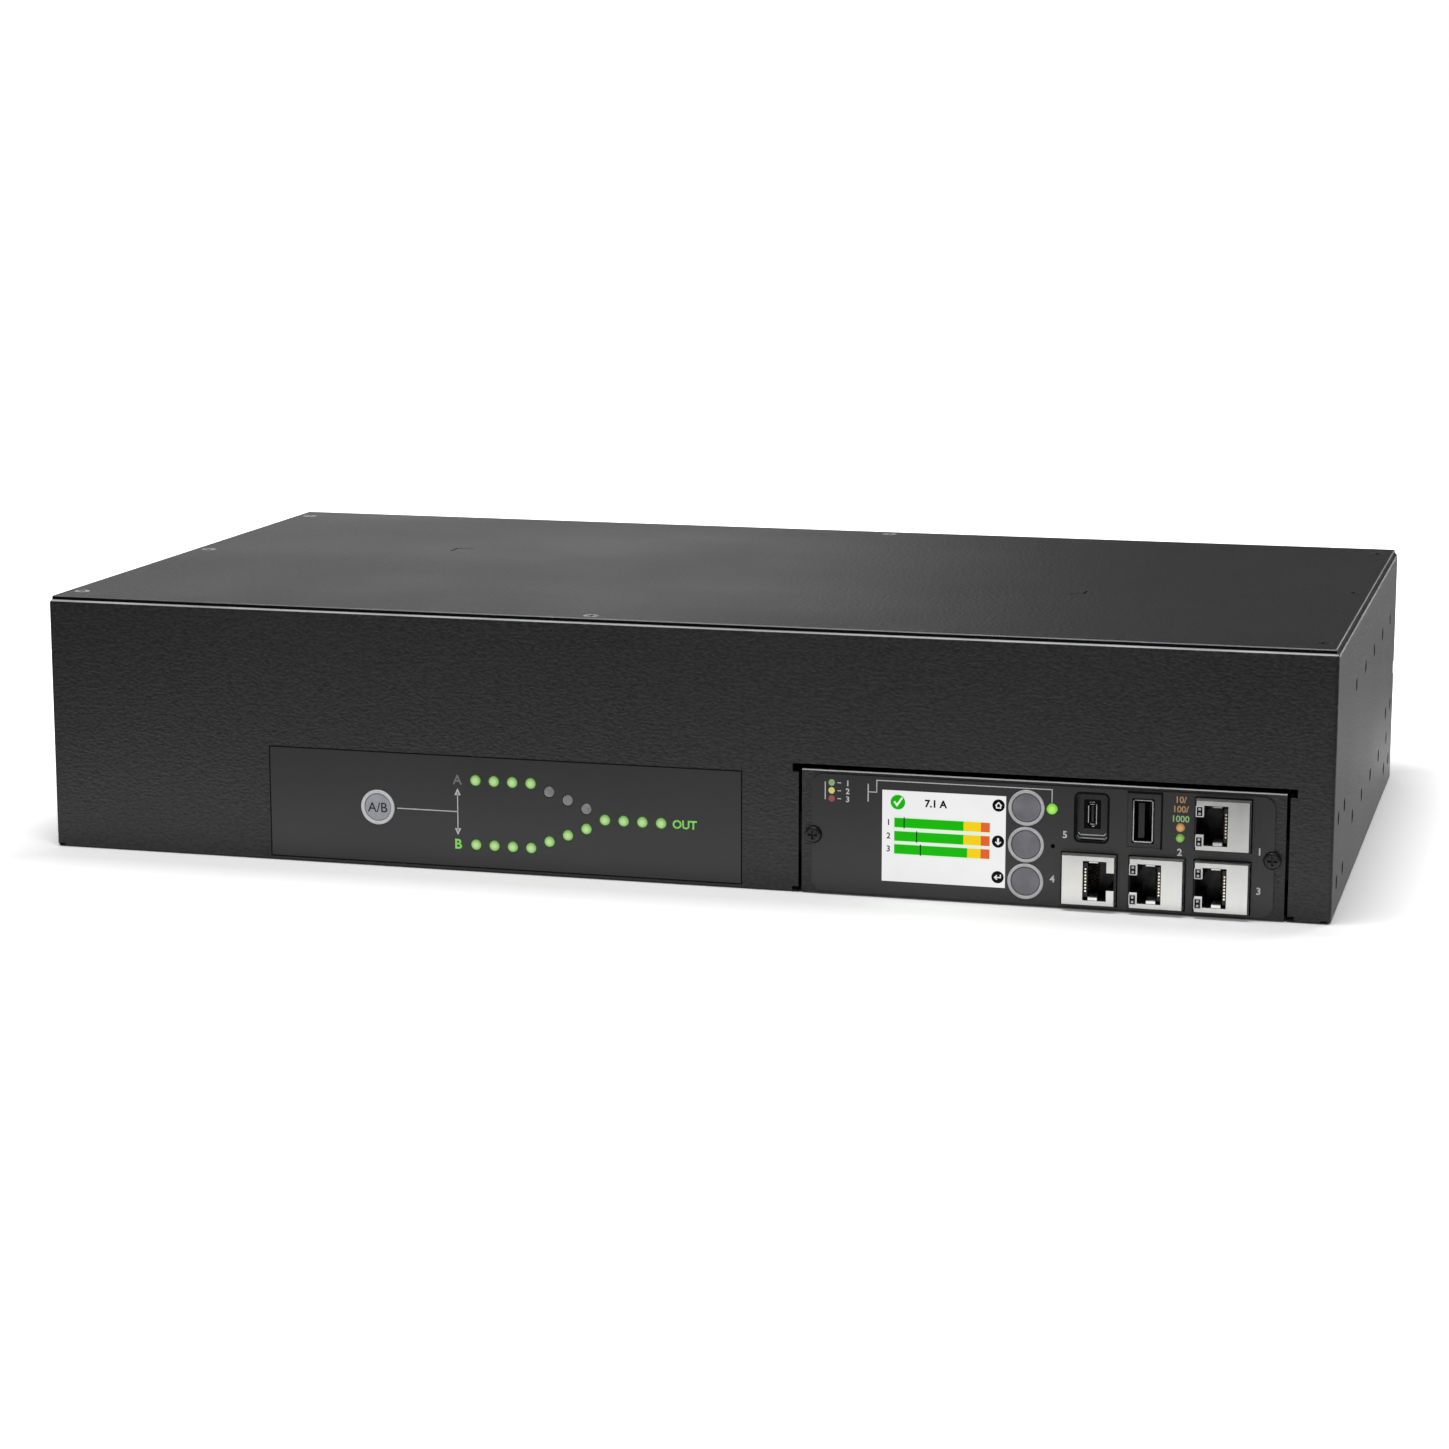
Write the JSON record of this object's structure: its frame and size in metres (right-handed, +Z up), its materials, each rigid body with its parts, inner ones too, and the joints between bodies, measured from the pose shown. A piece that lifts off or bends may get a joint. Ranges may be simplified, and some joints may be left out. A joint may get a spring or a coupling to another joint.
{
  "type": "rack automatic transfer switch",
  "caption": "Two-unit rack transfer switch: folded steel tray with flat cover, lamp diagram, display module with sockets, and mains outlets on its back panel.",
  "frame": {"origin": "middle of the tray's underside", "axes": "+X to the right as seen from the front, +Y from the front to the back, +Z up"},
  "size_m": [0.432, 0.2604, 0.0867],
  "materials": {
    "powder_coated_steel": "black powder coat, fine orange peel",
    "black_screw_steel": "black oxide",
    "printed_polycarbonate": "matt printed film",
    "outlet_nylon": "moulded black nylon",
    "breaker_nylon": "moulded black plastic",
    "lever_plastic": "moulded white plastic",
    "gland_nylon": "moulded black nylon",
    "jack_plastic": "moulded light grey plastic",
    "key_plastic": "moulded grey plastic",
    "lamp_plastic": "translucent green",
    "circuit_board": "green solder mask",
    "display_glass": "lit display",
    "plated_steel": "nickel plated",
    "socket_surround": "moulded black plastic",
    "switch_plastic": "moulded black plastic",
    "brass_stud": "bright",
    "spacer_brass": "bright",
    "relay_plastic": "moulded black plastic",
    "core_iron": "lacquered laminations",
    "terminal_plastic": "moulded green plastic"
  },
  "bodies": {
    "root": {"board_spacers": "spacer_brass", "breaker_body_a": "breaker_nylon", "breaker_body_b": "breaker_nylon", "chassis": "powder_coated_steel", "cord_gland_a": "gland_nylon", "cord_gland_b": "gland_nylon", "cover_screws": "black_screw_steel", "earth_stud": "brass_stud", "indicator_board": "circuit_board", "indicator_overlay": "printed_polycarbonate", "input_terminals": "terminal_plastic", "key_switches": "switch_plastic", "large_outlet_1": "outlet_nylon", "large_outlet_2": "outlet_nylon", "lcd_panel": "display_glass", "link_a_jack": "jack_plastic", "link_b_jack": "jack_plastic", "link_lamps": "lamp_plastic", "main_board": "circuit_board", "micro_usb_port": "socket_surround", "module_board": "circuit_board", "module_bracket": "powder_coated_steel", "module_faceplate": "printed_polycarbonate", "module_screws": "black_screw_steel", "network_jack": "jack_plastic", "outlet_board": "circuit_board", "output_lamps": "lamp_plastic", "panel_screws": "black_screw_steel", "rear_panel": "powder_coated_steel", "small_outlet_01": "outlet_nylon", "small_outlet_02": "outlet_nylon", "small_outlet_03": "outlet_nylon", "small_outlet_04": "outlet_nylon", "small_outlet_05": "outlet_nylon", "small_outlet_06": "outlet_nylon", "small_outlet_07": "outlet_nylon", "small_outlet_08": "outlet_nylon", "small_outlet_09": "outlet_nylon", "small_outlet_10": "outlet_nylon", "small_outlet_11": "outlet_nylon", "small_outlet_12": "outlet_nylon", "small_outlet_13": "outlet_nylon", "small_outlet_14": "outlet_nylon", "small_outlet_15": "outlet_nylon", "small_outlet_16": "outlet_nylon", "status_lamp": "lamp_plastic", "supply_a_lamps": "lamp_plastic", "supply_b_lamps": "lamp_plastic", "supply_transformers": "core_iron", "top_cover": "powder_coated_steel", "transfer_relays": "relay_plastic", "universal_io_jack": "jack_plastic", "usb_a_port": "plated_steel"},
    "preference_key_body": {"preference_key": "key_plastic"},
    "home_key_body": {"home_key": "key_plastic"},
    "down_key_body": {"down_key": "key_plastic"},
    "enter_key_body": {"enter_key": "key_plastic"},
    "reset_plunger_body": {"reset_plunger": "switch_plastic"},
    "breaker_a_lever_body": {"breaker_lever_a": "lever_plastic"},
    "breaker_b_lever_body": {"breaker_lever_b": "lever_plastic"}
  },
  "joints": [
    {"name": "preference_press", "type": "slide", "parent": "root", "child": "preference_key_body", "axis": [0, 1, 0], "range_m": [0, 0.0005], "stiffness_N_per_m": 800},
    {"name": "home_press", "type": "slide", "parent": "root", "child": "home_key_body", "axis": [0, 1, 0], "range_m": [0, 0.0005], "stiffness_N_per_m": 800},
    {"name": "down_press", "type": "slide", "parent": "root", "child": "down_key_body", "axis": [0, 1, 0], "range_m": [0, 0.0005], "stiffness_N_per_m": 800},
    {"name": "enter_press", "type": "slide", "parent": "root", "child": "enter_key_body", "axis": [0, 1, 0], "range_m": [0, 0.0005], "stiffness_N_per_m": 800},
    {"name": "reset_press", "type": "slide", "parent": "root", "child": "reset_plunger_body", "axis": [0, 1, 0], "range_m": [0, 0.0003], "stiffness_N_per_m": 800},
    {"name": "breaker_a_switch", "type": "hinge", "parent": "root", "child": "breaker_a_lever_body", "pos_m": [0.119, 0.1144, 0.04275], "axis": [-1, 0, 0], "range_deg": [0, 44]},
    {"name": "breaker_b_switch", "type": "hinge", "parent": "root", "child": "breaker_b_lever_body", "pos_m": [0.1435, 0.1144, 0.04275], "axis": [-1, 0, 0], "range_deg": [0, 44]}
  ]
}
